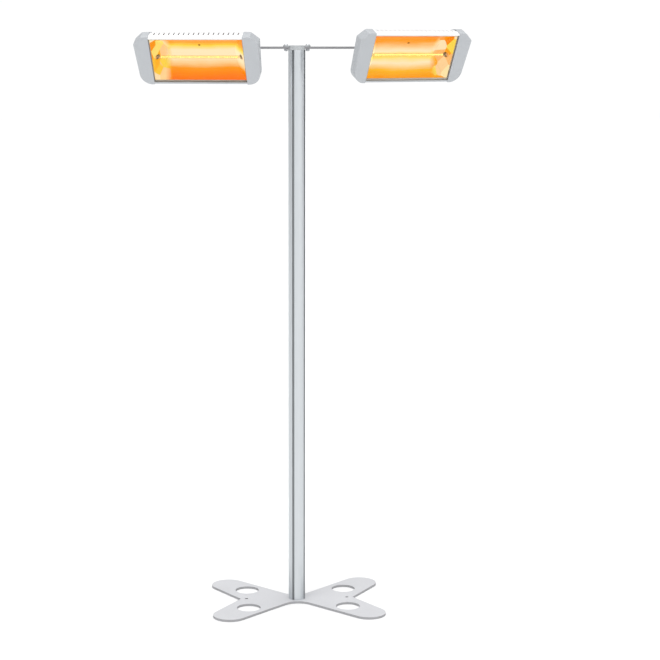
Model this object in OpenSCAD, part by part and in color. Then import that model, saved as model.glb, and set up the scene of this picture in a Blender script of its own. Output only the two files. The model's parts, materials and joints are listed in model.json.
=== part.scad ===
// Free-standing outdoor heater: a petal-shaped floor plate, a two-piece grooved pole and two short
// arms, each carrying a quartz-lamp heater head that pans about an upright bolt and tilts about a
// cross bolt.
// Frame: +Z up, origin on the pole axis at the underside of the floor plate, heads facing -Y.
// "Left" is the -X side and "right" the +X side. Each head is drawn in a frame of its own:
// X along the lamp, +Y back from the front face, Z up the face, origin at the middle of the face.

/* [Floor plate] */
// Thickness of the steel floor plate
plate_t = 8; // [6:1:12]
// Distance of a petal's tip centre from the pole axis, across
petal_x = 247; // [210:1:320]
// Distance of a petal's tip centre from the pole axis, front to back
petal_y = 177; // [150:1:230]
// Radius of a petal's round tip
petal_r = 61; // [52:1:75]
// Distance from the pole axis to the point of each side notch
notch_x = 205; // [190:1:250]
// Half width of the plate's waist, front and back of the pole
waist_half = 42; // [38:1:60]
// Radius of the hollow waist curve
waist_r = 63; // [40:1:90]
// Diameter of the large hole in each petal
petal_hole_d = 86; // [50:1:96]
// Large hole's distance from the pole axis, across
petal_hole_x = 179; // [160:1:200]
// Large hole's distance from the pole axis, front to back
petal_hole_y = 104; // [90:1:120]
// Distance between the two floor-bolt holes
floor_hole_pitch = 368; // [340:1:380]
// Diameter of a floor-bolt hole
floor_hole_d = 12; // [8:0.5:14]

/* [Pole] */
// Outside diameter of the pole
pole_d = 60; // [54:1:70]
// Wall of the pole
pole_wall = 6; // [5:0.5:8]
// Length of the lower pole
lower_len = 1000; // [700:10:1250]
// Length of the upper pole
upper_len = 984; // [700:10:1250]
// Width of each lengthwise groove
groove_w = 8; // [5:0.5:10]
// Depth of each lengthwise groove
groove_depth = 3.5; // [1:0.5:3.5]
// Number of grooves
groove_count = 4; // [2:1:6]
// Place of the first groove, degrees round from the front
groove_turn = -28; // [-45:1:45]
// Length of the plugs inside the two pole ends
plug_len = 70; // [60:5:100]
// Length of the joiner tube inside the pole joint
joiner_len = 160; // [140:10:240]
// Wall of the joiner tube
joiner_wall = 6; // [5:0.5:10]

/* [Arms] */
// Width of an arm bar
arm_w = 30; // [26:1:36]
// Thickness of an arm bar
arm_t = 8; // [6:0.5:10]
// Length of an arm from its pan hole to its inner end
arm_len = 326; // [322:1:330]
// Distance of the left pan bolt from the pole axis
left_reach = 322; // [316:1:352]
// Distance of the right pan bolt from the pole axis
right_reach = 351; // [322:1:356]
// Distance of an arm's clamp bolt from the side of the pole
clamp_out = 8; // [6:0.5:12]
// Thickness of the crown's top plate and of its floor under the arms
crown_t = 4; // [3:0.5:6]

/* [Pan and tilt] */
// Left head's turn outwards from straight ahead, degrees
left_pan = 13; // [0:1:45]
// Right head's turn outwards from straight ahead, degrees
right_pan = 23; // [0:1:45]
// Left head's tilt below the horizontal, degrees
left_tilt = 31; // [0:1:55]
// Right head's tilt below the horizontal, degrees
right_tilt = 26; // [0:1:55]
// Height of the tilt bolt above the top of the arm
tilt_rise = 22; // [22:0.5:26]
// Clear width between the ears of a yoke
yoke_gap = 36; // [30:1:50]
// Thickness of the yoke and lug plates
yoke_t = 4; // [3:0.5:6]
// Radius of the rounded ears and lugs
ear_r = 13; // [11:0.5:14]
// Diameter of the pan and tilt bolts
bolt_d = 8; // [6:1:8]
// Distance from a head's front face back to its tilt bolt
face_to_axis = 127; // [124:1:160]
// Height of the tilt bolt above the middle of the face
axis_above = 7; // [0:1:12]

/* [Heater head] */
// Width of the window between the end caps
window_w = 328; // [280:1:420]
// Height of the window
window_h = 170; // [150:1:190]
// Height of the trims above and below the window
trim_h = 6; // [5:0.5:8]
// Width of an end cap, seen from the front
cap_w = 54; // [50:1:70]
// Depth of an end cap's flat outer side
cap_depth = 36; // [24:1:48]
// How far an end cap narrows towards its bottom corner
cap_slant = 6; // [0:0.5:10]
// Radius of an end cap's bottom corner
cap_bottom_r = 42; // [30:1:46]
// Wall of an end cap
cap_wall = 2.2; // [1.8:0.1:3]
// Depth of the housing from the front face to its flat back
head_depth = 86; // [80:1:96]
// Radius of the housing's top and bottom shoulders
shoulder_r = 68; // [55:1:72]
// Wall of the housing
housing_wall = 2; // [1.5:0.1:3]
// Number of vent slots along the top shoulder
vent_count = 18; // [10:1:24]
// Spacing of the vent slots
vent_pitch = 17.3; // [12:0.1:18]
// Width of a vent slot
vent_w = 4; // [2:0.5:6]
// Length of a vent slot
vent_len = 26; // [12:1:30]
// Turn of the vent row back from the top, degrees
vent_turn = 13; // [5:1:30]

/* [Lamp and reflector] */
// Thickness of the glass pane
glass_t = 4; // [3:0.5:5]
// Distance from the front face to the middle of the reflector
reflector_back = 60; // [50:1:66]
// Thickness of the reflector sheet
sheet_t = 1; // [0.8:0.1:1.5]
// Number of flat facets across the reflector
facet_count = 12; // [6:2:20]
// Slope of the reflector's end panels, measured along the lamp
end_slope = 44; // [20:1:50]
// Diameter of the quartz tube
tube_d = 11; // [9:0.5:13]
// Distance from the front face back to the lamp
lamp_y = 28; // [24:1:36]
// Distance of each end of the quartz tube inwards from the window's side edge
tube_inset = 6; // [-1:0.5:19]

/* [Hidden] */
$fn = 96;

LEFT = -1;
RIGHT = 1;

// Clearances
fit_gap = 0.2;      // between pieces that slide together when the heater is assembled
turn_gap = 0.05;    // radial, between a hinge bolt and the piece that turns on it
face_gap = 0.2;     // between flat faces that turn past each other
cut = 1;            // overrun of a cut past the face it opens

// Floor plate and pole
arc_steps = 30;          // straight steps along each round stretch of the plate's edge
lower_top = plate_t + lower_len;
pole_top = lower_top + upper_len;
pole_r = pole_d / 2;
bore_r = pole_r - pole_wall;
plug_r = bore_r - fit_gap;
base_bolt_d = 8;
base_bolt_count = 3;
base_bolt_ring = 13;     // radius of the ring of bolts under the pole

// Radial screws that hold the plugs and the joiner in the pole
screw_d = 6;
screw_head_r = 5.5;
screw_head_t = 3;
screw_seat = 1;          // depth of the flat seat cut into the pole
screw_turn = groove_turn + (floor(groove_count / 2) + 0.5) * 360 / groove_count;
screw_heights = [plate_t + plug_len * 0.3, plate_t + plug_len * 0.7,
                 lower_top - joiner_len * 0.35, lower_top - joiner_len * 0.15,
                 lower_top + joiner_len * 0.15, lower_top + joiner_len * 0.35,
                 pole_top - plug_len * 0.7, pole_top - plug_len * 0.3];

// Crown and arms
arm_bottom = pole_top + crown_t;
arm_top = arm_bottom + arm_t;
crown_top = arm_top + crown_t;
clamp_hole_r = bolt_d / 2 + fit_gap;
clamp_x = pole_r + clamp_out;
ear_x = clamp_x + 10;                // half length of the crown's top plate
slot_end = 13;                       // arm's inner end to the nearest slot centre
slot_spare = 1;                      // slot's run past the clamp bolt of the shorter reach
slot_start = min(left_reach, right_reach) - clamp_x - slot_spare;

// Bolts, nuts and washers
bolt_r = bolt_d / 2;
hex_r = bolt_d * 0.94;               // corner radius of a hexagon head or nut
hex_head_t = bolt_d * 0.66;
nut_t = bolt_d * 0.81;
button_r = bolt_d * 0.875;
button_t = bolt_d * 0.55;
washer_t = 1.6;
washer_r = bolt_d;
tip = 1.5;                           // bolt length past its nut

// Yoke, measured up from the top of the arm
yoke_floor = face_gap + yoke_t;
washer_z = yoke_floor + face_gap;
pan_nut_z = washer_z + washer_t;
ear_in = yoke_gap / 2;
ear_out = ear_in + yoke_t;
lug_in = ear_out + face_gap;
lug_out = lug_in + yoke_t;
tilt_most = 45;                      // steepest tilt at which the bracket clears the arm
arm_clear = 2;                       // bracket's height above the arm's edge at that tilt
edge_ahead = arm_w / 2 * cos(tilt_most) + tilt_rise * sin(tilt_most);
edge_below = tilt_rise * cos(tilt_most) - arm_w / 2 * sin(tilt_most);

// Head shell, in the head's own frame
half_win = window_w / 2;
half_h = window_h / 2 + trim_h;
flat_half = half_h - shoulder_r;     // half height of the flat back
face_t = 2.5;                        // thickness of the trims and of the caps' front plates
cap_lap = 8;                         // housing's run inside each end cap
housing_half = half_win + cap_lap;
cap_grow = fit_gap + cap_wall;       // end cap's outer surface, outside the housing's
cap_half_h = half_h + cap_grow;
cap_out = half_win + cap_w;
cap_corner_r = 8;
cap_chamfer_x = 31;                  // cap's outer side to its upper corner centre
cap_chamfer_z = 29;                  // cap's top to its outer corner centre
vent_depth = 12;
plate_half_x = 50;                   // half length of the bracket plate
plate_y = head_depth + 3;            // rear face of the bracket plate
plate_half_z = min(flat_half - 3, 18);
bracket_bolt_x = 42;
bracket_bolt_z = plate_half_z - 7;
bracket_bolt_r = 3;
cap_screw_r = 1.75;
cap_screw_x = half_win + cap_lap / 2;
cap_screw_z = flat_half / 2;

// Glass, gasket and reflector, front to back
glass_y = face_t + fit_gap;
gasket_t = 2.5;
gasket_y = glass_y + glass_t;
gasket_w = 7;
reflector_y = gasket_y + gasket_t;
glass_half_h = half_h - 4;
glass_half_w = half_win + 5;
trim_leg_t = 1.5;
trim_leg = 12;                       // depth of a trim's inner leg
mouth_half = window_h / 2 - 3;       // half height of the reflector's mouth
mouth_w = half_win - 2;              // half width of the reflector's mouth
flange_half = glass_half_h - 0.5;
rivet_r = 4;
rivet_head_t = 1.2;

// Lamp
tube_r = tube_d / 2;
tube_len = window_w - 2 * tube_inset;
lamp_hole_r = tube_r + 3;
ceramic_r = tube_r + 2;
ceramic_len = 30;
ceramic_lap = 6;                     // quartz tube's run inside each ceramic end
holder_grip = 14;                    // ceramic end's run inside its holder
holder_wall = 4;
holder_h = 24;
block = [26, 16, 20];                // terminal block
block_inset = 14;                    // terminal block's distance from the window
block_hole = 5;
filament_half = tube_len / 2 - 22;
support_count = 9;

// Cable gland on the lower shoulder
gland_turn = 45;
gland_x = 110;
gland_hole_r = 8;
gland_bore_r = 4;

function reach(side) = side == LEFT ? left_reach : right_reach;
function pan(side) = side == LEFT ? -left_pan : right_pan;
function tilt(side) = side == LEFT ? left_tilt : right_tilt;

// ---------------------------------------------------------------- placing

// Frame of a yoke: origin on the pan axis at the top of the arm
module on_pan(side) {
  translate([side * reach(side), 0, arm_top]) rotate([0, 0, pan(side)]) children();
}

// Frame of a heater head
module on_head(side) {
  on_pan(side) translate([0, 0, tilt_rise]) rotate([tilt(side), 0, 0])
    translate([0, -face_to_axis, -axis_above]) children();
}

// Extrudes a (Y, Z) outline along X, centred
module along_x(len) {
  translate([-len / 2, 0, 0]) rotate([90, 0, 90]) linear_extrude(len) children();
}

module each_end() {
  children();
  mirror([1, 0, 0]) children();
}

// Cylinder along X, centred
module rod_x(r, len) {
  rotate([0, 90, 0]) cylinder(r = r, h = len, center = true);
}

// Cylinder along +Y from y = 0
module rod_y(r, len) {
  rotate([-90, 0, 0]) cylinder(r = r, h = len);
}

// ---------------------------------------------------------------- floor plate

// Angle of the line from a to b
function heading(a, b) = atan2(b[1] - a[1], b[0] - a[0]);
function span(a, b) = norm([b[0] - a[0], b[1] - a[1]]);
function step(p, r, angle) = [p[0] + r * cos(angle), p[1] + r * sin(angle)];

function arc(centre, r, from, to) =
  [for (i = [0 : arc_steps]) step(centre, r, from + (to - from) * i / arc_steps)];

petal = [petal_x, petal_y];
waist = [0, waist_half + waist_r];
notch = [notch_x, 0];
// The inner edge runs from the notch and touches the petal's tip circle on its outer side
inner_angle = heading(petal, notch) + acos(petal_r / span(petal, notch));
// The outer edge crosses between the tip circle and the waist circle and touches both
cross_angle = acos((petal_r + waist_r) / span(waist, petal));
outer_angle = heading(petal, waist) - cross_angle + 360;
waist_angle = heading(waist, petal) - cross_angle;

quarter = concat([notch], arc(petal, petal_r, inner_angle, outer_angle),
                 arc(waist, waist_r, waist_angle, -90));
back_half = concat(quarter, [for (i = [len(quarter) - 2 : -1 : 0]) [-quarter[i][0], quarter[i][1]]]);
front_half = [for (i = [len(back_half) - 2 : -1 : 1]) [back_half[i][0], -back_half[i][1]]];

module plate_outline() {
  difference() {
    polygon(concat(back_half, front_half));
    for (x = [-1, 1], y = [-1, 1])
      translate([x * petal_hole_x, y * petal_hole_y]) circle(d = petal_hole_d);
    for (x = [-1, 1]) translate([x * floor_hole_pitch / 2, 0]) circle(d = floor_hole_d);
  }
}

// Ring of sunk bolts that point up from the underside of the plate; gap makes their holes
module base_bolt_set(gap) {
  for (i = [0 : base_bolt_count - 1])
    rotate(90 + i * 360 / base_bolt_count) translate([base_bolt_ring, 0, fit_gap]) {
      cylinder(r1 = base_bolt_d + gap, r2 = base_bolt_d / 2 + gap, h = base_bolt_d / 2);
      cylinder(r = base_bolt_d / 2 + gap, h = plate_t + plug_len / 2 + gap);
      if (gap > 0) translate([0, 0, -cut]) cylinder(r = base_bolt_d + gap, h = cut);
    }
}

module base_plate() {
  color("gainsboro") difference() {
    linear_extrude(plate_t) plate_outline();
    base_bolt_set(fit_gap);
  }
}

module base_plug() {
  color("silver") difference() {
    translate([0, 0, plate_t]) cylinder(r = plug_r, h = plug_len);
    base_bolt_set(fit_gap);
    screw_holes(turn_gap);
  }
}

module base_bolts() {
  color("silver") base_bolt_set(0);
}

// ---------------------------------------------------------------- pole

// Frame of each pole screw: origin on the pole axis, Z out through the land between two grooves
module on_screws() {
  for (z = screw_heights) translate([0, 0, z]) rotate([90, 0, screw_turn]) children();
}

module screw_holes(gap) {
  on_screws() cylinder(r = screw_d / 2 + gap, h = pole_d);
}

module screw_seats() {
  on_screws() translate([0, 0, pole_r - screw_seat])
    cylinder(r = screw_head_r + fit_gap, h = screw_head_t);
}

module pole_section() {
  difference() {
    circle(pole_r);
    circle(bore_r);
    for (i = [0 : groove_count - 1])
      rotate(groove_turn + i * 360 / groove_count)
        translate([-groove_w / 2, -pole_r - cut]) square([groove_w, groove_depth + cut]);
  }
}

module pole_length(z, len) {
  color("silver") difference() {
    translate([0, 0, z]) linear_extrude(len) pole_section();
    screw_holes(fit_gap);
    screw_seats();
  }
}

module lower_pole() {
  pole_length(plate_t, lower_len);
}

module upper_pole() {
  pole_length(lower_top, upper_len);
}

module pole_joiner() {
  color("darkgray") difference() {
    translate([0, 0, lower_top - joiner_len / 2]) cylinder(r = plug_r, h = joiner_len);
    translate([0, 0, lower_top - joiner_len / 2 - cut])
      cylinder(r = plug_r - joiner_wall, h = joiner_len + 2 * cut);
    screw_holes(turn_gap);
  }
}

module pole_screws() {
  color("silver") on_screws() translate([0, 0, pole_r - screw_seat]) {
    cylinder(r = screw_head_r, h = screw_head_t);
    mirror([0, 0, 1]) cylinder(r = screw_d / 2, h = pole_wall - screw_seat + joiner_wall);
  }
}

// ---------------------------------------------------------------- crown and arms

// Bar outline with a round end at each x
module bar_outline(x0, x1, w) {
  translate([x0, -w / 2]) square([x1 - x0, w]);
  for (x = [x0, x1]) translate([x, 0]) circle(w / 2);
}

module crown() {
  color("gray") difference() {
    union() {
      translate([0, 0, pole_top - plug_len]) cylinder(r = plug_r, h = plug_len + cut);
      translate([0, 0, pole_top]) cylinder(r = pole_r, h = crown_top - pole_top);
      translate([0, 0, arm_top]) linear_extrude(crown_t)
        bar_outline(-ear_x + arm_w / 2, ear_x - arm_w / 2, arm_w);
    }
    translate([-pole_d, -arm_w / 2 - fit_gap, arm_bottom])
      cube([2 * pole_d, arm_w + 2 * fit_gap, arm_t]);
    for (side = [LEFT, RIGHT]) translate([side * clamp_x, 0, arm_top - cut])
      cylinder(r = clamp_hole_r, h = crown_t + 2 * cut);
    screw_holes(turn_gap);
  }
}

// Arm bar with its pan hole at the origin, running inwards
module arm(side) {
  color("dimgray") translate([side * reach(side), 0, arm_bottom]) facing_x(-side)
    linear_extrude(arm_t) difference() {
      union() {
        circle(arm_w / 2);
        translate([0, -arm_w / 2]) square([arm_len, arm_w]);
      }
      circle(bolt_r + fit_gap);
      bar_outline(slot_start, arm_len - slot_end, 2 * clamp_hole_r);
    }
}

module facing_x(direction) {
  if (direction > 0) children();
  else mirror([1, 0, 0]) children();
}

module left_arm() {
  arm(LEFT);
}

module right_arm() {
  arm(RIGHT);
}

module nut() {
  difference() {
    cylinder(r = hex_r, h = nut_t, $fn = 6);
    translate([0, 0, -cut]) cylinder(r = bolt_r + turn_gap, h = nut_t + 2 * cut);
  }
}

module arm_bolts() {
  color("silver") for (side = [LEFT, RIGHT]) translate([side * clamp_x, 0, crown_top]) {
    cylinder(r = button_r, h = button_t);
    mirror([0, 0, 1]) cylinder(r = bolt_r, h = crown_t + arm_t + nut_t + tip);
  }
}

module arm_nuts() {
  color("silver") for (side = [LEFT, RIGHT])
    translate([side * clamp_x, 0, arm_bottom - nut_t]) nut();
}

module pan_bolts() {
  color("silver") for (side = [LEFT, RIGHT]) on_pan(side) translate([0, 0, -arm_t]) {
    mirror([0, 0, 1]) cylinder(r = hex_r, h = hex_head_t, $fn = 6);
    cylinder(r = bolt_r, h = arm_t + pan_nut_z + nut_t + tip);
  }
}

module pan_washers() {
  color("silver") for (side = [LEFT, RIGHT]) on_pan(side) translate([0, 0, washer_z])
    difference() {
      cylinder(r = washer_r, h = washer_t);
      translate([0, 0, -cut]) cylinder(r = bolt_r + turn_gap, h = washer_t + 2 * cut);
    }
}

module pan_nuts() {
  color("silver") for (side = [LEFT, RIGHT]) on_pan(side) translate([0, 0, pan_nut_z]) nut();
}

// ---------------------------------------------------------------- yoke and tilt bolt

module yoke(side) {
  color("dimgray") on_pan(side) difference() {
    union() {
      translate([-ear_out, -arm_w / 2, face_gap]) cube([2 * ear_out, arm_w, yoke_t]);
      for (x = [-1, 1]) translate([x * (ear_in + yoke_t / 2), 0, 0]) along_x(yoke_t) {
        translate([-ear_r, face_gap]) square([2 * ear_r, tilt_rise - face_gap]);
        translate([0, tilt_rise]) circle(ear_r);
      }
    }
    cylinder(r = bolt_r + turn_gap, h = tilt_rise, center = true);
    translate([0, 0, tilt_rise]) rod_x(bolt_r + turn_gap, 3 * ear_out);
  }
}

module on_tilt(side) {
  on_pan(side) translate([0, 0, tilt_rise]) children();
}

module tilt_bolt(side) {
  color("silver") on_tilt(side) {
    translate([-lug_out - face_gap, 0, 0]) rotate([0, 90, 0]) {
      mirror([0, 0, 1]) cylinder(r = hex_r, h = hex_head_t, $fn = 6);
      cylinder(r = bolt_r, h = 2 * (lug_out + face_gap) + nut_t + tip);
    }
  }
}

module tilt_nut(side) {
  color("silver") on_tilt(side) translate([lug_out + face_gap, 0, 0]) rotate([0, 90, 0]) nut();
}

// Lug in (Y, Z) about the tilt bolt: a round eye, and a cranked strap that passes over the arm
module lug_outline() {
  strap_end = head_depth - face_to_axis;
  strap_top = plate_half_z - axis_above;
  strap_bottom = arm_clear - edge_below;
  circle(ear_r);
  polygon([
    [strap_end, strap_top],
    [strap_end, strap_bottom],
    [-edge_ahead, strap_bottom],
    [-ear_r / 3, -ear_r * 0.7],
    [0, 0],
    [-ear_r / 3, strap_top]]);
}

module head_bracket(side) {
  color("dimgray") on_head(side) difference() {
    union() {
      translate([-plate_half_x, head_depth, -plate_half_z])
        cube([2 * plate_half_x, plate_y - head_depth, 2 * plate_half_z]);
      for (x = [-1, 1]) translate([x * (lug_in + yoke_t / 2), 0, 0]) along_x(yoke_t)
        translate([face_to_axis, axis_above]) lug_outline();
    }
    translate([0, face_to_axis, axis_above]) rod_x(bolt_r + turn_gap, 3 * lug_out);
    on_bracket_bolts(-cut) rod_y(bracket_bolt_r + fit_gap, plate_y);
  }
}

// Places of the four bracket bolts, a distance behind the housing's back
module on_bracket_bolts(behind) {
  for (x = [-1, 1], z = [-1, 1])
    translate([x * bracket_bolt_x, head_depth + behind, z * bracket_bolt_z]) children();
}

module bracket_bolts(side) {
  color("silver") on_head(side) {
    on_bracket_bolts(plate_y - head_depth) rod_y(bracket_bolt_r * 1.8, 3);
    on_bracket_bolts(-2 * housing_wall) rod_y(bracket_bolt_r, 2 * housing_wall + plate_y - head_depth);
  }
}

// ---------------------------------------------------------------- head shell

// Housing section in (Y, Z): a straight mouth, two round shoulders and a flat back.
// grow moves the whole outline out; a negative value moves it in.
module shell_section(grow, front = face_t) {
  intersection() {
    union() {
      for (z = [-1, 1]) translate([head_depth - shoulder_r, z * flat_half])
        circle(shoulder_r + grow);
      translate([0, -flat_half]) square([head_depth + grow, 2 * flat_half]);
      translate([0, -half_h - grow]) square([head_depth - shoulder_r, 2 * (half_h + grow)]);
    }
    translate([front, -2 * half_h]) square([2 * head_depth, 4 * half_h]);
  }
}

// Frame on a shoulder: Z out of the surface, turned back from straight up
module on_shoulder(turn, up = 1) {
  translate([0, head_depth - shoulder_r, up * flat_half]) rotate([-up * turn, 0, 0])
    facing_z(up) translate([0, 0, shoulder_r]) children();
}

module facing_z(direction) {
  if (direction > 0) children();
  else mirror([0, 0, 1]) children();
}

module housing(side) {
  color("white") on_head(side) difference() {
    along_x(2 * housing_half) difference() {
      shell_section(0);
      shell_section(-housing_wall, 0);
    }
    for (i = [0 : vent_count - 1]) on_shoulder(vent_turn)
      translate([(i - (vent_count - 1) / 2) * vent_pitch, 0, 0])
        cube([vent_w, vent_len, vent_depth], center = true);
    on_bracket_bolts(-vent_depth) rod_y(bracket_bolt_r + fit_gap, 2 * vent_depth);
    on_cap_screws() rod_y(cap_screw_r + fit_gap, 2 * vent_depth);
    translate([-side * gland_x, 0, 0]) on_shoulder(gland_turn, -1)
      cylinder(r = gland_hole_r + fit_gap, h = vent_depth, center = true);
  }
}

// End cap's outline in (X, Z), for the +X end; inset moves it in
module cap_outline(inset, inner_x) {
  height = 2 * (cap_half_h - inset);
  intersection() {
    hull() {
      translate([inner_x, -height / 2]) square([cut, height]);
      translate([cap_out - cap_chamfer_x, cap_half_h - cap_corner_r])
        circle(cap_corner_r - inset, $fn = 32);
      translate([cap_out - cap_corner_r, cap_half_h - cap_chamfer_z])
        circle(cap_corner_r - inset, $fn = 32);
      translate([cap_out - cap_slant - cap_bottom_r, -cap_half_h + cap_bottom_r])
        circle(cap_bottom_r - inset, $fn = 96);
    }
    translate([inner_x, -height / 2]) square([cap_out, height]);
  }
}

// Solid of an end cap: the flat-sided front part, drawn together to the housing's section
module cap_body(inset, inner_x, front, back, lap_x) {
  hull() {
    translate([0, back, 0]) rotate([90, 0, 0]) linear_extrude(back - front)
      cap_outline(inset, inner_x);
    translate([(inner_x + lap_x) / 2, 0, 0]) along_x(lap_x - inner_x)
      shell_section(cap_grow - inset, front, $fn = 64);
  }
}

module end_cap() {
  difference() {
    cap_body(0, half_win, 0, cap_depth, housing_half + cap_grow);
    cap_body(cap_wall, half_win - cut, face_t, cap_depth - cap_wall, housing_half + fit_gap);
    on_cap_screws() rod_y(cap_screw_r + fit_gap, 2 * vent_depth, $fn = 24);
  }
}

// Places of the cap screws, on the flat back near each end
module on_cap_screws() {
  for (x = [-1, 1], z = [-1, 1])
    translate([x * cap_screw_x, head_depth - vent_depth, z * cap_screw_z]) children();
}

module inner_cap(side) {
  color("lightgray") on_head(side) facing_x(-side) end_cap();
}

module outer_cap(side) {
  color("lightgray") on_head(side) facing_x(side) end_cap();
}

module cap_screws(side) {
  color("silver") on_head(side) on_cap_screws() translate([0, vent_depth + cap_grow, 0]) {
    rod_y(2 * cap_screw_r, 2);
    mirror([0, 1, 0]) rod_y(cap_screw_r, cap_grow + 2 * housing_wall);
  }
}

// ---------------------------------------------------------------- glass and trims

module trim_strip(side, up) {
  on_head(side) facing_z(up) {
    translate([-half_win + fit_gap, 0, window_h / 2])
      cube([2 * (half_win - fit_gap), face_t, half_h - window_h / 2]);
    translate([-half_win + fit_gap, 0, half_h - housing_wall - fit_gap - trim_leg_t])
      cube([2 * (half_win - fit_gap), trim_leg, trim_leg_t]);
  }
}

module top_trim(side) {
  color("white") trim_strip(side, 1);
}

module bottom_trim(side) {
  color("lightgray") trim_strip(side, -1);
}

module glass(side) {
  color([1, 0.8, 0.5, 0.4]) on_head(side) translate([-glass_half_w, glass_y, -glass_half_h])
    cube([2 * glass_half_w, glass_t, 2 * glass_half_h]);
}

module gasket(side) {
  color("dimgray") on_head(side) difference() {
    translate([-glass_half_w, gasket_y, -flange_half])
      cube([2 * glass_half_w, gasket_t, 2 * flange_half]);
    translate([-glass_half_w + gasket_w, gasket_y - cut, -flange_half + gasket_w])
      cube([2 * (glass_half_w - gasket_w), gasket_t + 2 * cut, 2 * (flange_half - gasket_w)]);
  }
}

// ---------------------------------------------------------------- reflector

// Depth of a parabola that reaches back at z = 0 and the mouth at z = half
function dish(z, back, half) = back - (back - reflector_y) * pow(z / half, 2);
function dish_points(back, half, first, last) =
  [for (i = [first : last]) let (z = half * (2 * i / facet_count - 1)) [dish(z, back, half), z]];
function backwards(points) = [for (i = [len(points) - 1 : -1 : 0]) points[i]];

module reflector_section() {
  flange_y = reflector_y + sheet_t;
  polygon(concat(
    dish_points(reflector_back, mouth_half, 0, facet_count),
    [[reflector_y, flange_half], [flange_y, flange_half], [flange_y, mouth_half + sheet_t]],
    backwards(dish_points(reflector_back + sheet_t, mouth_half + sheet_t, 1, facet_count - 1)),
    [[flange_y, -mouth_half - sheet_t], [flange_y, -flange_half], [reflector_y, -flange_half]]));
}

// Plan of the space between the sloping end panels, grown by gap at each end
module trough_plan(gap) {
  run = reflector_back + 2 * sheet_t;
  polygon([[-mouth_w - gap, reflector_y], [mouth_w + gap, reflector_y],
           [mouth_w - end_slope + gap, run], [-mouth_w + end_slope - gap, run]]);
}

module reflector(side) {
  color("orange") on_head(side) difference() {
    intersection() {
      along_x(2 * mouth_w) reflector_section();
      translate([0, 0, -half_h]) linear_extrude(2 * half_h) trough_plan(0);
    }
    on_rivet() cylinder(r = rivet_r / 2 + fit_gap, h = 6 * sheet_t, center = true);
  }
}

module reflector_ends(side) {
  color("gold") on_head(side) each_end() difference() {
    intersection() {
      translate([0, 0, -half_h]) linear_extrude(2 * half_h) difference() {
        trough_plan(fit_gap + sheet_t);
        trough_plan(fit_gap);
        translate([-2 * mouth_w, 0]) square([2 * mouth_w, head_depth]);
      }
      along_x(4 * mouth_w)
        polygon(dish_points(reflector_back, mouth_half, 0, facet_count));
    }
    translate([0, lamp_y, 0]) rod_x(lamp_hole_r, 4 * mouth_w);
  }
}

// Frame at the middle of the rivet's facet: Z back through the sheet
module on_rivet() {
  facet = dish_points(reflector_back, mouth_half, facet_count / 2 + 2, facet_count / 2 + 3);
  low = facet[0];
  high = facet[1];
  translate([0, (low[0] + high[0]) / 2, (low[1] + high[1]) / 2])
    rotate([-90 - atan2(high[0] - low[0], high[1] - low[1]), 0, 0]) children();
}

module reflector_rivet(side) {
  color("silver") on_head(side) on_rivet() {
    translate([0, 0, -rivet_head_t]) cylinder(r = rivet_r, h = rivet_head_t);
    cylinder(r = rivet_r / 2, h = 2 * sheet_t);
    translate([0, 0, 2 * sheet_t]) cylinder(r = rivet_r * 0.8, h = rivet_head_t);
  }
}

// ---------------------------------------------------------------- lamp

module on_lamp(side) {
  on_head(side) translate([0, lamp_y, 0]) children();
}

module lamp_tube(side) {
  color([1, 1, 0.9, 0.5]) on_lamp(side) difference() {
    rod_x(tube_r, tube_len);
    rod_x(tube_r - 1, tube_len - 8);
  }
}

module filament(side) {
  color("yellow") on_lamp(side) {
    rod_x(1.4, 2 * filament_half);
    for (i = [0 : support_count - 1])
      translate([filament_half * (2 * i / (support_count - 1) - 1) * 0.98, 0, 0])
        rod_x(tube_r - 1.4, 1);
  }
}

module lamp_ends(side) {
  color("white") on_lamp(side) each_end() difference() {
    translate([tube_len / 2 - ceramic_lap + ceramic_len / 2, 0, 0]) rod_x(ceramic_r, ceramic_len);
    translate([tube_len / 2 - ceramic_lap, 0, 0])
      rod_x(tube_r + turn_gap, 2 * ceramic_lap);
  }
}

// Cups round the lamp's outer ends, each on a foot that stands on an end cap's front plate
module lamp_holders(side) {
  end_x = tube_len / 2 - ceramic_lap + ceramic_len;
  mouth_x = end_x - holder_grip;
  foot_x = glass_half_w + holder_wall;
  color("ivory") on_head(side) each_end() difference() {
    union() {
      translate([mouth_x, lamp_y - ceramic_r - holder_wall, -holder_h / 2])
        cube([holder_grip + holder_wall, 2 * (ceramic_r + holder_wall), holder_h]);
      translate([foot_x, face_t, -holder_h / 2])
        cube([end_x + holder_wall - foot_x, lamp_y - ceramic_r - face_t, holder_h]);
    }
    translate([end_x - holder_grip, lamp_y, 0]) rod_x(ceramic_r + turn_gap, 2 * holder_grip);
  }
}

// Three-way terminal block on the front plate of the inner end cap
module terminal_block(side) {
  color("ivory") on_head(side) facing_x(-side)
    translate([half_win + block_inset, face_t, -half_h / 2 - block[2]]) difference() {
      cube(block);
      for (i = [0 : 2]) translate([block[0] * (1 + 2 * i) / 6, block[1] / 2, block[2] - block_hole])
        cylinder(r = block_hole / 2, h = block_hole + cut);
    }
}

module cable_gland(side) {
  color("black") on_head(side) translate([-side * gland_x, 0, 0]) on_shoulder(gland_turn, -1)
    difference() {
      union() {
        cylinder(r = 12, h = 6, $fn = 6);
        translate([0, 0, 6]) cylinder(r = 10, h = 8);
        translate([0, 0, 14]) cylinder(r1 = 10, r2 = 7, h = 5);
        translate([0, 0, -housing_wall - 3]) cylinder(r = gland_hole_r, h = housing_wall + 4);
      }
      translate([0, 0, -vent_depth]) cylinder(r = gland_bore_r, h = 3 * vent_depth);
    }
}

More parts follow.
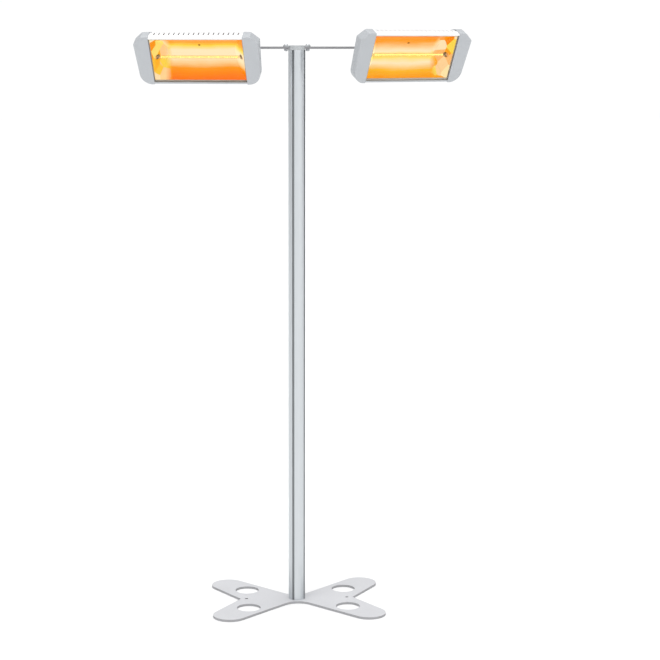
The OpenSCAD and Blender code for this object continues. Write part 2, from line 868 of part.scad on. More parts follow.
base_plate();
base_plug();
base_bolts();
lower_pole();
pole_joiner();
upper_pole();
pole_screws();
crown();
left_arm();
right_arm();
arm_bolts();
arm_nuts();
pan_bolts();
pan_washers();
pan_nuts();
yoke(LEFT);  // left_yoke
tilt_bolt(LEFT);  // left_tilt_bolt
tilt_nut(LEFT);  // left_tilt_nut
head_bracket(LEFT);  // left_head_bracket
bracket_bolts(LEFT);  // left_bracket_bolts
housing(LEFT);  // left_housing
inner_cap(LEFT);  // left_inner_cap
outer_cap(LEFT);  // left_outer_cap
cap_screws(LEFT);  // left_cap_screws
glass(LEFT);  // left_glass
gasket(LEFT);  // left_gasket
top_trim(LEFT);  // left_top_trim
bottom_trim(LEFT);  // left_bottom_trim
reflector(LEFT);  // left_reflector
reflector_ends(LEFT);  // left_reflector_ends
reflector_rivet(LEFT);  // left_reflector_rivet
lamp_tube(LEFT);  // left_lamp_tube
filament(LEFT);  // left_filament
lamp_ends(LEFT);  // left_lamp_ends
lamp_holders(LEFT);  // left_lamp_holders
terminal_block(LEFT);  // left_terminal_block
cable_gland(LEFT);  // left_cable_gland
yoke(RIGHT);  // right_yoke
tilt_bolt(RIGHT);  // right_tilt_bolt
tilt_nut(RIGHT);  // right_tilt_nut
head_bracket(RIGHT);  // right_head_bracket
bracket_bolts(RIGHT);  // right_bracket_bolts
housing(RIGHT);  // right_housing
inner_cap(RIGHT);  // right_inner_cap
outer_cap(RIGHT);  // right_outer_cap
cap_screws(RIGHT);  // right_cap_screws
glass(RIGHT);  // right_glass
gasket(RIGHT);  // right_gasket
top_trim(RIGHT);  // right_top_trim
bottom_trim(RIGHT);  // right_bottom_trim
reflector(RIGHT);  // right_reflector
reflector_ends(RIGHT);  // right_reflector_ends
reflector_rivet(RIGHT);  // right_reflector_rivet
lamp_tube(RIGHT);  // right_lamp_tube
filament(RIGHT);  // right_filament
lamp_ends(RIGHT);  // right_lamp_ends
lamp_holders(RIGHT);  // right_lamp_holders
terminal_block(RIGHT);  // right_terminal_block
cable_gland(RIGHT);  // right_cable_gland
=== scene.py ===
"""Looks of a free-standing outdoor heater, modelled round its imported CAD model.

A petal-shaped floor plate carries a grooved pole, and two arms at its top each hold a quartz-lamp
head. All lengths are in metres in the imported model's frame: +Z up, heads facing -Y.
"""

import json
import math

import bmesh
import bpy
from bpy.props import FloatProperty, FloatVectorProperty, IntProperty, PointerProperty
from mathutils import Matrix, Vector


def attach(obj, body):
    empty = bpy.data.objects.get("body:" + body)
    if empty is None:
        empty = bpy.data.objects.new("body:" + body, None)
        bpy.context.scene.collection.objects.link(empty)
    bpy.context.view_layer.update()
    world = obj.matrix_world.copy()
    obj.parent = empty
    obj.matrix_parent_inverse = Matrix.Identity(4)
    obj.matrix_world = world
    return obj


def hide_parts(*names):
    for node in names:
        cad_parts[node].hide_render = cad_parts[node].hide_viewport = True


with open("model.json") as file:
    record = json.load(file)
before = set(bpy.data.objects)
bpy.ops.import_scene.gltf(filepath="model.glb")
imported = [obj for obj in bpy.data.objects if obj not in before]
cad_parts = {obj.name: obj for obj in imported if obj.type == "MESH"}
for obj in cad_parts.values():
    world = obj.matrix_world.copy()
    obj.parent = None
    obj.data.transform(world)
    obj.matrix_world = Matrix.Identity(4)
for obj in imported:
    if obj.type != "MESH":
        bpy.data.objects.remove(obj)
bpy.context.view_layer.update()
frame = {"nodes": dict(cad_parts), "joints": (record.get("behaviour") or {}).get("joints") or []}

bl_info = {
    "name": "Outdoor heater",
    "version": (1, 0, 0),
    "blender": (4, 5, 0),
    "location": "3D View > Sidebar > Heater",
    "description": "Models the looks of a twin-head outdoor heater",
    "category": "Add Mesh",
}

MM = 0.001
SIDES = ("left", "right")
NODES = frame["nodes"]
JOINTS = {joint["name"]: joint for joint in frame["joints"]}
UP = Vector((0, 0, 1))


# ------------------------------------------------------------------ places from the frame

def axis_matrix(side):
    """Frame of a head's tilt bolt: X along the bolt, Y level and away from the window."""
    joint = JOINTS[side + "_tilt"]
    along = Vector(joint["axis"])
    pan = math.atan2(along.y, along.x)
    tilt = math.radians(-joint["range_deg"][0])
    turned = Matrix.Rotation(pan, 4, "Z") @ Matrix.Rotation(tilt, 4, "X")
    return Matrix.Translation(joint["pos_m"]) @ turned


def box_in(node, matrix):
    """Lowest and highest corner of a CAD node, measured in the frame that matrix places."""
    inverse = matrix.inverted()
    points = [inverse @ v.co for v in NODES[node].data.vertices]
    low = Vector([min(p[i] for p in points) for i in range(3)])
    high = Vector([max(p[i] for p in points) for i in range(3)])
    return low, high


def head_matrix(side):
    """Frame of a head: X along the lamp, Y back from the front face, Z up the face."""
    turned = axis_matrix(side)
    front = box_in(side + "_top_trim", turned)[0].y
    glass_low, glass_high = box_in(side + "_glass", turned)
    middle = (glass_low.z + glass_high.z) / 2
    return turned @ Matrix.Translation((0, front, middle))


HEADS = {side: head_matrix(side) for side in SIDES}


def islands(node):
    """The separate solids of a CAD node, each as a list of its points."""
    mesh = bmesh.new()
    mesh.from_mesh(NODES[node].data)
    bmesh.ops.remove_doubles(mesh, verts=mesh.verts, dist=1e-6)
    left = set(mesh.verts)
    found = []
    while left:
        start = left.pop()
        group, edge = [start], [start]
        while edge:
            for link in edge.pop().link_edges:
                for v in link.verts:
                    if v in left:
                        left.discard(v)
                        group.append(v)
                        edge.append(v)
        found.append([v.co.copy() for v in group])
    mesh.free()
    return found


# ------------------------------------------------------------------ modelling helpers

def deselect():
    if bpy.context.object and bpy.context.object.mode != "OBJECT":
        bpy.ops.object.mode_set(mode="OBJECT")
    bpy.ops.object.select_all(action="DESELECT")


def activate(piece):
    deselect()
    piece.select_set(True)
    bpy.context.view_layer.objects.active = piece


def select_edges(piece, wanted):
    """In edit mode, selects the edges for which wanted(edge) is true."""
    bpy.ops.mesh.select_mode(type="EDGE")
    bpy.ops.mesh.select_all(action="DESELECT")
    mesh = bmesh.from_edit_mesh(piece.data)
    for edge in mesh.edges:
        edge.select_set(bool(wanted(edge)))
    bmesh.update_edit_mesh(piece.data)


def apply_all(piece):
    activate(piece)
    for modifier in list(piece.modifiers):
        bpy.ops.object.modifier_apply(modifier=modifier.name)


def soften(piece, width, segments=2, angle=30.0):
    """Rounds a piece's edges and keeps its flat faces flat."""
    bevel = piece.modifiers.new("Soft edges", "BEVEL")
    bevel.width = width
    bevel.segments = segments
    bevel.limit_method = "ANGLE"
    bevel.angle_limit = math.radians(angle)
    bevel.use_clamp_overlap = True
    apply_all(piece)
    bpy.ops.object.shade_smooth_by_angle(angle=math.radians(angle))
    weigh = piece.modifiers.new("Flat faces", "WEIGHTED_NORMAL")
    weigh.keep_sharp = True
    apply_all(piece)


def merged_copy(node, name):
    """A copy of a CAD node's mesh with its triangles joined into whole faces."""
    piece = bpy.data.objects.new(name, NODES[node].data.copy())
    bpy.context.scene.collection.objects.link(piece)
    piece.data.materials.clear()
    activate(piece)
    bpy.ops.object.mode_set(mode="EDIT")
    bpy.ops.mesh.select_all(action="SELECT")
    bpy.ops.mesh.customdata_custom_splitnormals_clear()
    bpy.ops.mesh.remove_doubles(threshold=2e-6)
    bpy.ops.mesh.dissolve_limited(angle_limit=math.radians(0.3))
    bpy.ops.object.mode_set(mode="OBJECT")
    return piece


def finish_piece(piece, node, body, material):
    """Gives a piece its material and body, and lets it stand for its CAD node."""
    piece.data.materials.clear()
    piece.data.materials.append(material)
    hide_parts(node)
    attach(piece, body)
    return piece


def softened_node(node, body, material, width, segments=2, angle=30.0):
    piece = merged_copy(node, node + "_body")
    soften(piece, width, segments, angle)
    return finish_piece(piece, node, body, material)


def paint_node(node, material):
    """Gives a CAD node that stays in view its material."""
    mesh = NODES[node].data
    mesh.materials.clear()
    mesh.materials.append(material)


def join_copies(pattern, places, name):
    """Copies a finished pattern to each place, joins the copies and removes the pattern."""
    copies = []
    for place in places:
        piece = bpy.data.objects.new(name, pattern.data.copy())
        piece.data.transform(place)
        bpy.context.scene.collection.objects.link(piece)
        copies.append(piece)
    bpy.data.objects.remove(pattern)
    activate(copies[0])
    for piece in copies:
        piece.select_set(True)
    if len(copies) > 1:
        bpy.ops.object.join()
    whole = bpy.context.object
    whole.name = name
    return whole


def along(direction, origin, spin=0.0):
    """Places a pattern drawn along +Z so that it points along direction from origin."""
    turn = direction.to_track_quat("Z", "Y").to_matrix().to_4x4()
    return Matrix.Translation(origin) @ turn @ Matrix.Rotation(spin, 4, "Z")


# ------------------------------------------------------------------ material helpers

class Finish:
    """A material under construction on one Principled shader, patterned in object space."""

    def __init__(self, name, colour, roughness, metallic=0.0):
        self.material = bpy.data.materials.new(name)
        self.material.use_nodes = True
        self.tree = self.material.node_tree
        self.shader = self.tree.nodes["Principled BSDF"]
        self.shader.inputs["Base Color"].default_value = (*colour, 1)
        self.shader.inputs["Roughness"].default_value = roughness
        self.shader.inputs["Metallic"].default_value = metallic
        self.place = self.node("ShaderNodeTexCoord").outputs["Object"]

    def node(self, kind, settings=None, **inputs):
        made = self.tree.nodes.new(kind)
        for key, value in (settings or {}).items():
            setattr(made, key, value)
        for key, value in inputs.items():
            socket = made.inputs[key.replace("_", " ")]
            if isinstance(value, bpy.types.NodeSocket):
                self.tree.links.new(value, socket)
            else:
                socket.default_value = value
        return made

    def set(self, socket, value):
        if isinstance(value, bpy.types.NodeSocket):
            self.tree.links.new(value, self.shader.inputs[socket])
        else:
            self.shader.inputs[socket].default_value = value

    def stretched(self, scale, place=None):
        """Object coordinates multiplied by a scale along each axis."""
        made = self.node("ShaderNodeMapping", Vector=place or self.place, Scale=scale)
        return made.outputs["Vector"]

    def noise(self, scale, detail=4.0, roughness=0.55, place=None):
        made = self.node("ShaderNodeTexNoise", Vector=place or self.place, Scale=scale,
                         Detail=detail, Roughness=roughness)
        return made.outputs["Fac"]

    def ramp(self, factor, stops, interpolation="LINEAR"):
        """Colours along a factor: stops are (position, colour) pairs."""
        made = self.node("ShaderNodeValToRGB", Fac=factor)
        ramp = made.color_ramp
        ramp.interpolation = interpolation
        while len(ramp.elements) < len(stops):
            ramp.elements.new(1.0)
        for element, (position, colour) in zip(ramp.elements, stops):
            element.position = position
            element.color = (*colour, 1)
        return made.outputs["Color"]

    def range(self, value, low, high, out_low, out_high):
        made = self.node("ShaderNodeMapRange", Value=value)
        for key, number in zip(("From Min", "From Max", "To Min", "To Max"),
                               (low, high, out_low, out_high)):
            made.inputs[key].default_value = number
        return made.outputs["Result"]

    def math(self, operation, a, b=0.0):
        made = self.node("ShaderNodeMath", {"operation": operation})
        for socket, value in zip(made.inputs, (a, b)):
            if isinstance(value, bpy.types.NodeSocket):
                self.tree.links.new(value, socket)
            else:
                socket.default_value = value
        return made.outputs["Value"]

    def bump(self, height, strength, distance, normal=None):
        made = self.node("ShaderNodeBump", Height=height, Strength=strength, Distance=distance)
        if normal:
            self.tree.links.new(normal, made.inputs["Normal"])
        return made.outputs["Normal"]

    def shade(self, factor, colour, spread, dim=1.0):
        """The colour, varied up and down by spread with a factor, and dimmed where dim is low."""
        low = [c * (1 - spread) for c in colour]
        high = [min(1.0, c * (1 + spread)) for c in colour]
        made = self.ramp(factor, [(0.3, low), (0.7, high)])
        dimmed = self.node("ShaderNodeHueSaturation", Color=made, Value=dim)
        self.set("Base Color", dimmed.outputs["Color"])

    def mix(self, factor, a, b):
        """Colour a where the factor is 0 and colour b where it is 1."""
        made = self.node("ShaderNodeMix", {"data_type": "RGBA"})
        for socket, value in ((made.inputs[0], factor), (made.inputs[6], a), (made.inputs[7], b)):
            if isinstance(value, bpy.types.NodeSocket):
                self.tree.links.new(value, socket)
            else:
                socket.default_value = (*value, 1)
        return made.outputs[2]

    def length(self, vector):
        return self.node("ShaderNodeVectorMath", {"operation": "LENGTH"},
                         Vector=vector).outputs["Value"]


def powder_coat(name, colour, roughness=0.5, grain=1400.0, spread=0.03, depth=0.00025, edge=1.0):
    """Baked powder paint: orange-peel skin, fine grain and a slightly uneven gloss.

    Upright faces are darkened down to the share edge: partly a thinner coat on the cut edges, partly
    painted shade on the sides that turn from the light above.
    """
    paint = Finish(name, colour, roughness)
    peel = paint.noise(grain * 0.22, detail=2.0)
    fine = paint.noise(grain, detail=3.0)
    cloud = paint.noise(9.0, detail=3.0)
    # Painted shade mixed with a thinner coat: upright faces are dimmed by how upright they are.
    normal = paint.node("ShaderNodeTexCoord").outputs["Normal"]
    upright = paint.node("ShaderNodeSeparateXYZ", Vector=normal).outputs["Z"]
    painted_light_mask = paint.range(paint.math("ABSOLUTE", upright), 0.15, 0.75, edge, 1.0)
    paint.shade(paint.math("ADD", paint.math("MULTIPLY", fine, 0.4),
                           paint.math("MULTIPLY", cloud, 0.6)), colour, spread, painted_light_mask)
    paint.set("Roughness", paint.range(peel, 0.3, 0.7, roughness - 0.05, roughness + 0.07))
    skin = paint.bump(peel, 0.25, depth)
    paint.set("Normal", paint.bump(fine, 0.12, depth * 0.4, skin))
    paint.set("Specular IOR Level", 0.5)
    return paint.material


def drawn_aluminium(colour, groove_r, pole_r):
    """Satin anodised extrusion: fine lines along the pole, and painted shade darkening the grooves
    inside groove_r.
    """
    metal = Finish("Satin aluminium", colour, 0.34, metallic=1.0)
    fine = metal.noise(1.0, detail=5.0, place=metal.stretched((1500, 1500, 14)))
    broad = metal.noise(1.0, detail=3.0, place=metal.stretched((90, 90, 1.6)))
    blast = metal.noise(2600.0, detail=2.0)
    # Painted shade: the colour is dimmed inside the grooves, where shade falls.
    radius = metal.length(metal.stretched((1, 1, 0)))
    groove_shade_mask = metal.range(radius, groove_r, pole_r, 0.38, 1.0)
    metal.shade(metal.math("ADD", metal.math("MULTIPLY", fine, 0.5),
                           metal.math("MULTIPLY", broad, 0.5)), colour, 0.05, groove_shade_mask)
    metal.set("Roughness", metal.range(broad, 0.25, 0.75, 0.34, 0.46))
    lines = metal.bump(fine, 0.16, 0.00012)
    metal.set("Normal", metal.bump(blast, 0.08, 0.00008, lines))
    return metal.material


def plated_steel(name, colour, roughness):
    """Zinc-plated or tumbled steel: cloudy plating and small random scratches."""
    metal = Finish(name, colour, roughness, metallic=1.0)
    cloud = metal.noise(260.0, detail=4.0)
    scratch = metal.noise(1.0, detail=6.0, place=metal.stretched((2400, 400, 900)))
    metal.shade(cloud, colour, 0.1)
    metal.set("Roughness", metal.range(cloud, 0.3, 0.7, roughness - 0.08, roughness + 0.1))
    metal.set("Normal", metal.bump(scratch, 0.2, 0.0001))
    return metal.material


def satin_paint(name, colour):
    """Thin satin spray paint over rolled steel bar."""
    paint = Finish(name, colour, 0.42)
    roll = paint.noise(1.0, detail=4.0, place=paint.stretched((60, 900, 900)))
    grain = paint.noise(1800.0, detail=3.0)
    paint.shade(paint.math("MULTIPLY", paint.math("ADD", roll, grain), 0.5), colour, 0.08)
    paint.set("Roughness", paint.range(roll, 0.3, 0.7, 0.34, 0.5))
    paint.set("Normal", paint.bump(grain, 0.2, 0.0001, paint.bump(roll, 0.1, 0.0001)))
    return paint.material


def woven_fibre():
    """Glass-fibre gasket tape: crossed yarns."""
    cloth = Finish("Gasket fibre", (0.6, 0.58, 0.54), 0.9)
    warp = cloth.node("ShaderNodeTexWave", Vector=cloth.place, Scale=420.0, Distortion=0.6)
    weft = cloth.node("ShaderNodeTexWave", {"bands_direction": "Z"}, Vector=cloth.place,
                      Scale=420.0, Distortion=0.6)
    weave = cloth.math("MAXIMUM", warp.outputs["Fac"], weft.outputs["Fac"])
    cloth.set("Base Color", cloth.ramp(weave, [(0.0, (0.42, 0.4, 0.37)), (1.0, (0.74, 0.71, 0.66))]))
    cloth.set("Normal", cloth.bump(weave, 0.6, 0.0003))
    cloth.set("Sheen Weight", 0.2)
    return cloth.material


def fired_ceramic():
    """Unglazed steatite: fine speckle and a dry surface."""
    clay = Finish("Fired ceramic", (0.8, 0.76, 0.67), 0.75)
    speck = clay.node("ShaderNodeTexVoronoi", Vector=clay.place, Scale=900.0)
    cloud = clay.noise(200.0, detail=4.0)
    clay.set("Base Color", clay.ramp(cloud, [(0.3, (0.7, 0.65, 0.56)), (0.7, (0.86, 0.82, 0.74))]))
    clay.set("Normal", clay.bump(speck.outputs["Distance"], 0.2, 0.0001))
    return clay.material


def moulded_nylon():
    """Black moulded nylon with a spark-eroded texture."""
    plastic = Finish("Moulded nylon", (0.03, 0.03, 0.032), 0.5)
    grain = plastic.noise(2200.0, detail=2.0)
    plastic.shade(grain, (0.03, 0.03, 0.032), 0.15)
    plastic.set("Roughness", plastic.range(grain, 0.3, 0.7, 0.42, 0.6))
    plastic.set("Normal", plastic.bump(grain, 0.3, 0.0001))
    return plastic.material


def head_coordinates(finish, side):
    """X along the lamp, Y back from the window and Z up the window of one head."""
    matrix = HEADS[side]
    local = finish.node("ShaderNodeMapping", {"vector_type": "TEXTURE"}, Vector=finish.place,
                        Location=matrix.translation, Rotation=matrix.to_euler())
    return local.outputs["Vector"]


# Colours of the glow painted on the reflectors, in linear light
DEEP = (0.96, 0.12, 0.0)
ORANGE = (0.97, 0.25, 0.0)
AMBER = (0.98, 0.33, 0.01)
GOLD = (0.98, 0.52, 0.03)
LEMON = (0.96, 0.78, 0.1)
PEACH = (0.98, 0.62, 0.27)
CREAM = (1.0, 0.9, 0.62)

# Painted glow (the lamp's reflections) across each trough, as (height from the lamp in mm, colour),
# from the bottom up
BAND_REACH = 90.0
BANDS = {
    "left": [(-80, DEEP), (-60, ORANGE), (-50, AMBER), (-40, PEACH), (-20, CREAM), (10, CREAM),
             (30, LEMON), (40, GOLD), (50, AMBER), (70, ORANGE)],
    "right": [(-80, AMBER), (-60, GOLD), (-40, CREAM), (-20, LEMON), (0, CREAM), (20, PEACH),
              (40, AMBER), (60, ORANGE), (80, DEEP)],
}

# The outer end of a trough carries a painted pattern of facet reflections, from this share of its
# half length
FACET_GLOW_START = 0.62
FACET_GLOW_FULL = 0.78
FACETS = [(0.1, ORANGE), (0.3, GOLD), (0.45, LEMON), (0.6, CREAM), (0.8, PEACH), (0.95, AMBER)]


def lit_reflector(side, strength):
    """Gold-lined trough with its lamp's light painted on as glow: painted bands along it, broken
    into a painted facet pattern at its outer end.
    """
    glow = Finish("Lit reflector " + side, (0.1, 0.05, 0.015), 0.3, metallic=1.0)
    place = head_coordinates(glow, side)
    split = glow.node("ShaderNodeSeparateXYZ", Vector=place)
    height = glow.math("DIVIDE", split.outputs["Z"], MM)
    ripple = glow.noise(1.0, detail=2.0, place=glow.stretched((12, 12, 20), place))
    streak = glow.noise(1.0, detail=5.0, place=glow.stretched((6, 60, 400), place))
    wavy = glow.math("ADD", height, glow.range(ripple, 0.3, 0.7, -3.0, 3.0))
    fine = glow.math("ADD", wavy, glow.range(streak, 0.3, 0.7, -2.2, 2.2))
    banded = glow.ramp(glow.range(fine, -BAND_REACH, BAND_REACH, 0, 1),
                       [((z + BAND_REACH) / (2 * BAND_REACH), c) for z, c in BANDS[side]])
    # Painted reflection: a cell pattern of glow colours at the trough's outer end.
    facet_cells = glow.node("ShaderNodeTexVoronoi", Scale=1.0,
                       Vector=glow.stretched((34, 34, 22), place))
    facets = glow.ramp(facet_cells.outputs["Color"], FACETS)
    low, high = box_in(side + "_reflector", HEADS[side])
    half = (high.x - low.x) / 2
    cap_low, cap_high = box_in(side + "_outer_cap", HEADS[side])
    outer = math.copysign(1.0, cap_low.x + cap_high.x)
    outward = glow.math("MULTIPLY", split.outputs["X"], outer)
    painted_light_mask = glow.range(outward, FACET_GLOW_START * half, FACET_GLOW_FULL * half, 0, 1)
    # Painted glow: the emission paints the lamp's reflected light onto the sheet, which is no lamp.
    glow.set("Emission Color", glow.mix(painted_light_mask, banded, facets))
    glow.set("Emission Strength", strength)
    glow.set("Normal", glow.bump(streak, 0.15, 0.0002))
    return glow.material


def glowing(name, colour, strength, flicker):
    """A glowing surface, slightly brighter and dimmer along its length: the lamp's own light on the
    filament, painted glow on the lamp ends.
    """
    glow_finish = Finish(name, colour, 0.4)
    along_it = glow_finish.noise(flicker, detail=2.0)
    glow_finish.set("Emission Color", glow_finish.ramp(along_it, [(0.3, [c * 0.88 for c in colour]), (0.7, colour)]))
    glow_finish.set("Emission Strength", strength)
    return glow_finish.material


HEAD_ON_REFLECTION = 0.03


def clear_pane(name, tint, body, clearness, roughness=0.03):
    """Thin clear glass: seen straight through, with a reflection that grows at a slant."""
    glass = Finish(name, body, roughness)
    smear = glass.noise(30.0, detail=3.0)
    glass.set("Roughness", glass.range(smear, 0.3, 0.7, roughness * 0.6, roughness * 2.0))
    see = glass.node("ShaderNodeBsdfTransparent", Color=(*tint, 1))
    slant = glass.node("ShaderNodeLayerWeight", Blend=0.5).outputs["Facing"]
    grazing = glass.math("MULTIPLY", glass.math("POWER", slant, 5.0), 0.9)
    share = glass.math("ADD", grazing, HEAD_ON_REFLECTION + 1 - clearness)
    mix = glass.node("ShaderNodeMixShader", Fac=share)
    glass.tree.links.new(see.outputs["BSDF"], mix.inputs[1])
    glass.tree.links.new(glass.shader.outputs["BSDF"], mix.inputs[2])
    output = glass.tree.nodes["Material Output"]
    glass.tree.links.new(mix.outputs["Shader"], output.inputs["Surface"])
    return glass.material


MATERIALS = {}
GROOVE_LIP = 0.3 * MM
SEAL_WIDTH = 1.4 * MM
SEAL_DEPTH = 2.2 * MM
SEAL_MARGIN = 6 * MM


def groove_radii():
    """Radii of the bottom of the pole's grooves, and just under its outer surface."""
    pole = [v.co.xy.length for v in NODES["upper_pole"].data.vertices]
    middle = (min(pole) + max(pole)) / 2
    groove = min(r for r in pole if r > middle - MM)
    return groove, max(pole) - GROOVE_LIP


def make_materials(look):
    """All finishes of the heater, by a short name."""
    MATERIALS.update({
        # The floor plate's upright faces get painted shade as well as a thinner coat, by the share
        # edge.
        "plate": powder_coat("Floor plate coat", look.plate_colour, 0.55, edge=0.55),
        "pole": drawn_aluminium(look.pole_colour, *groove_radii()),
        "crown": satin_paint("Crown paint", look.crown_colour),
        "arm": satin_paint("Arm paint", look.arm_colour),
        "housing": powder_coat("White enamel", look.housing_colour, 0.3, grain=1000.0, spread=0.01),
        "cap": powder_coat("Grey cap coat", look.cap_colour, 0.42, spread=0.02),
        "steel": plated_steel("Zinc plate", (0.62, 0.63, 0.65), 0.35),
        "gasket": woven_fibre(),
        "ceramic": fired_ceramic(),
        "nylon": moulded_nylon(),
        "glass": clear_pane("Window glass", (1.0, 0.97, 0.93), (0.03, 0.03, 0.03), 0.99),
        "quartz": clear_pane("Quartz", (1.0, 0.96, 0.85), (1.0, 0.96, 0.85), 0.9, roughness=0.08),
        "filament": glowing("Glowing filament", (1.0, 0.86, 0.35), look.lamp_strength, 60.0),
        # Painted glow: the lamp ends and holders get a warm emission standing for the lamp's light
        # on them.
        "painted_glow_ceramic": glowing("Lamp end ceramic", (0.9, 0.5, 0.18), 0.4, 60.0),
        "seal": powder_coat("Window seal", (0.2, 0.2, 0.2), 0.7),
        "sheet_back": plated_steel("Reflector back", (0.7, 0.7, 0.7), 0.4),
        "rivet": plated_steel("Hot rivet", (0.42, 0.2, 0.06), 0.4),
    })
    for side in SIDES:
        MATERIALS["reflector_" + side] = lit_reflector(side, look.glow_strength)


# ------------------------------------------------------------------ settings

class HeaterLook(bpy.types.PropertyGroup):
    """Colours and brightness of the heater."""
    plate_colour: FloatVectorProperty(
        name="Floor plate", description="Colour of the floor plate's powder coat",
        subtype="COLOR", default=(0.6, 0.605, 0.625))
    pole_colour: FloatVectorProperty(
        name="Pole", description="Colour of the anodised pole",
        subtype="COLOR", default=(0.63, 0.66, 0.68))
    crown_colour: FloatVectorProperty(
        name="Crown", description="Colour of the crown at the pole's top",
        subtype="COLOR", default=(0.46, 0.48, 0.49))
    arm_colour: FloatVectorProperty(
        name="Arms", description="Colour of the arms, yokes and brackets",
        subtype="COLOR", default=(0.25, 0.25, 0.26))
    housing_colour: FloatVectorProperty(
        name="Housing", description="Colour of the housings' enamel",
        subtype="COLOR", default=(0.9, 0.9, 0.9))
    cap_colour: FloatVectorProperty(
        name="End caps", description="Colour of the end caps' powder coat",
        subtype="COLOR", default=(0.46, 0.48, 0.5))
    glow_strength: FloatProperty(
        name="Reflector glow", description="Brightness of the lit reflectors", default=1.0, min=0)
    lamp_strength: FloatProperty(
        name="Lamp glow", description="Brightness of the filaments", default=1.1, min=0)


class HeaterEdges(bpy.types.PropertyGroup):
    """Edge radii and small details."""
    plate_edge: FloatProperty(
        name="Floor plate edge", description="Radius of the floor plate's edges",
        default=1.2 * MM, unit="LENGTH")
    pole_edge: FloatProperty(
        name="Pole edge", description="Radius of the pole's cut ends and groove edges",
        default=0.6 * MM, unit="LENGTH")
    bar_edge: FloatProperty(
        name="Bar edge", description="Radius of the edges of arms, yokes and brackets",
        default=0.8 * MM, unit="LENGTH")
    sheet_edge: FloatProperty(
        name="Sheet edge", description="Radius of the edges of pressed sheet parts",
        default=0.4 * MM, unit="LENGTH")
    cap_edge: FloatProperty(
        name="End cap edge", description="Radius of the end caps' outer edges",
        default=1.6 * MM, unit="LENGTH")
    coil_pitch: FloatProperty(
        name="Filament pitch", description="Distance between turns of the filament",
        default=1.2 * MM, unit="LENGTH")


class HeaterCamera(bpy.types.PropertyGroup):
    """Where the camera stands."""
    distance: FloatProperty(
        name="Distance", description="Level distance from the pole to the camera",
        default=6.24, unit="LENGTH")
    height: FloatProperty(
        name="Height", description="Height of the camera above the floor",
        default=2.018, unit="LENGTH")
    turn: FloatProperty(
        name="Turn", description="How far the camera stands round to the left",
        default=math.radians(3.23), unit="ROTATION")
    pitch: FloatProperty(
        name="Pitch", description="How far the camera looks down",
        default=math.radians(9.24), unit="ROTATION")
    lens: FloatProperty(name="Lens", description="Focal length in millimetres", default=96.4)
    shift: FloatProperty(name="Shift", description="Sideways shift of the lens", default=0.0503)


# ------------------------------------------------------------------ fasteners

def cylinder(radius, low, high, vertices=32):
    """A cylinder along Z from low to high."""
    deselect()
    bpy.ops.mesh.primitive_cylinder_add(vertices=vertices, radius=radius, depth=high - low,
                                        location=(0, 0, (low + high) / 2))
    piece = bpy.context.object
    bpy.ops.object.transform_apply(location=True, rotation=True, scale=True)
    return piece


def joined(pieces, name):
    activate(pieces[0])
    for piece in pieces:
        piece.select_set(True)
    bpy.ops.object.join()
    bpy.context.object.name = name
    return bpy.context.object


def shank(radius, low, high):
    """Threaded shank: a rod with a run of turned ridges at its tip."""
    rod = cylinder(radius * 0.92, low, high, 24)
    pitch = radius * 0.3
    rings = []
    count = max(1, int(min(high - low, radius * 2.4) / pitch) - 1)
    for i in range(count):
        deselect()
        z = low + pitch * (i + 0.9)
        bpy.ops.mesh.primitive_cone_add(vertices=24, radius1=radius * 0.9, radius2=radius,
                                        depth=pitch / 2, location=(0, 0, z - pitch / 4))
        lower = bpy.context.object
        bpy.ops.mesh.primitive_cone_add(vertices=24, radius1=radius, radius2=radius * 0.9,
                                        depth=pitch / 2, location=(0, 0, z + pitch / 4))
        upper = bpy.context.object
        rings += [lower, upper]
    return [rod] + rings


def bolt(head_r, head_t, shank_r, length, kind, name):
    """A bolt along Z, head up, with the seat of its head at z = 0."""
    corners = 6 if kind == "hex" else 48
    head = cylinder(head_r, 0, head_t, corners)
    bpy.ops.object.mode_set(mode="EDIT")
    select_edges(head, lambda e: min(v.co.z for v in e.verts) > head_t - 1e-6)
    if kind == "button":
        bpy.ops.mesh.bevel(offset=head_t * 0.8, segments=5, affect="EDGES")
    else:
        bpy.ops.mesh.bevel(offset=head_r * 0.12, segments=2, affect="EDGES")
    bpy.ops.object.mode_set(mode="OBJECT")
    if kind == "button":
        deselect()
        bpy.ops.mesh.primitive_cylinder_add(vertices=6, radius=head_r * 0.42, depth=head_t,
                                            location=(0, 0, head_t * 0.95))
        socket = bpy.context.object
        drive = head.modifiers.new("Socket", "BOOLEAN")
        drive.object = socket
        apply_all(head)
        bpy.data.objects.remove(socket)
    parts = [head] + (shank(shank_r, -length, 0) if length > 0 else [])
    whole = joined(parts, name)
    bpy.ops.object.shade_smooth_by_angle(angle=math.radians(30))
    return whole


def nut_pattern(corner_r, hole_r, height, name):
    """A hexagon nut along Z from z = 0, chamfered at both ends."""
    nut = cylinder(corner_r, 0, height, 6)
    bore = cylinder(hole_r, -height, 2 * height, 32)
    cut = nut.modifiers.new("Bore", "BOOLEAN")
    cut.object = bore
    apply_all(nut)
    bpy.data.objects.remove(bore)
    nut.name = name
    soften(nut, corner_r * 0.09, 2)
    return nut


def fastener_spans(node, direction):
    """For each solid of a node: a point on its axis, and its reach along direction from there."""
    spans = []
    for points in islands(node):
        middle = sum(points, Vector()) / len(points)
        ends = [(p - middle).dot(direction) for p in points]
        low, high = min(ends), max(ends)
        flat = [p - direction * (p - middle).dot(direction) for p in points]
        centre = sum(flat, Vector()) / len(flat)
        spans.append((centre, low, high))
    return spans


def widest(node, direction):
    """Largest radius of a node's first solid about its own axis."""
    points = islands(node)[0]
    middle = sum(points, Vector()) / len(points)
    return max((p - middle - direction * (p - middle).dot(direction)).length for p in points)


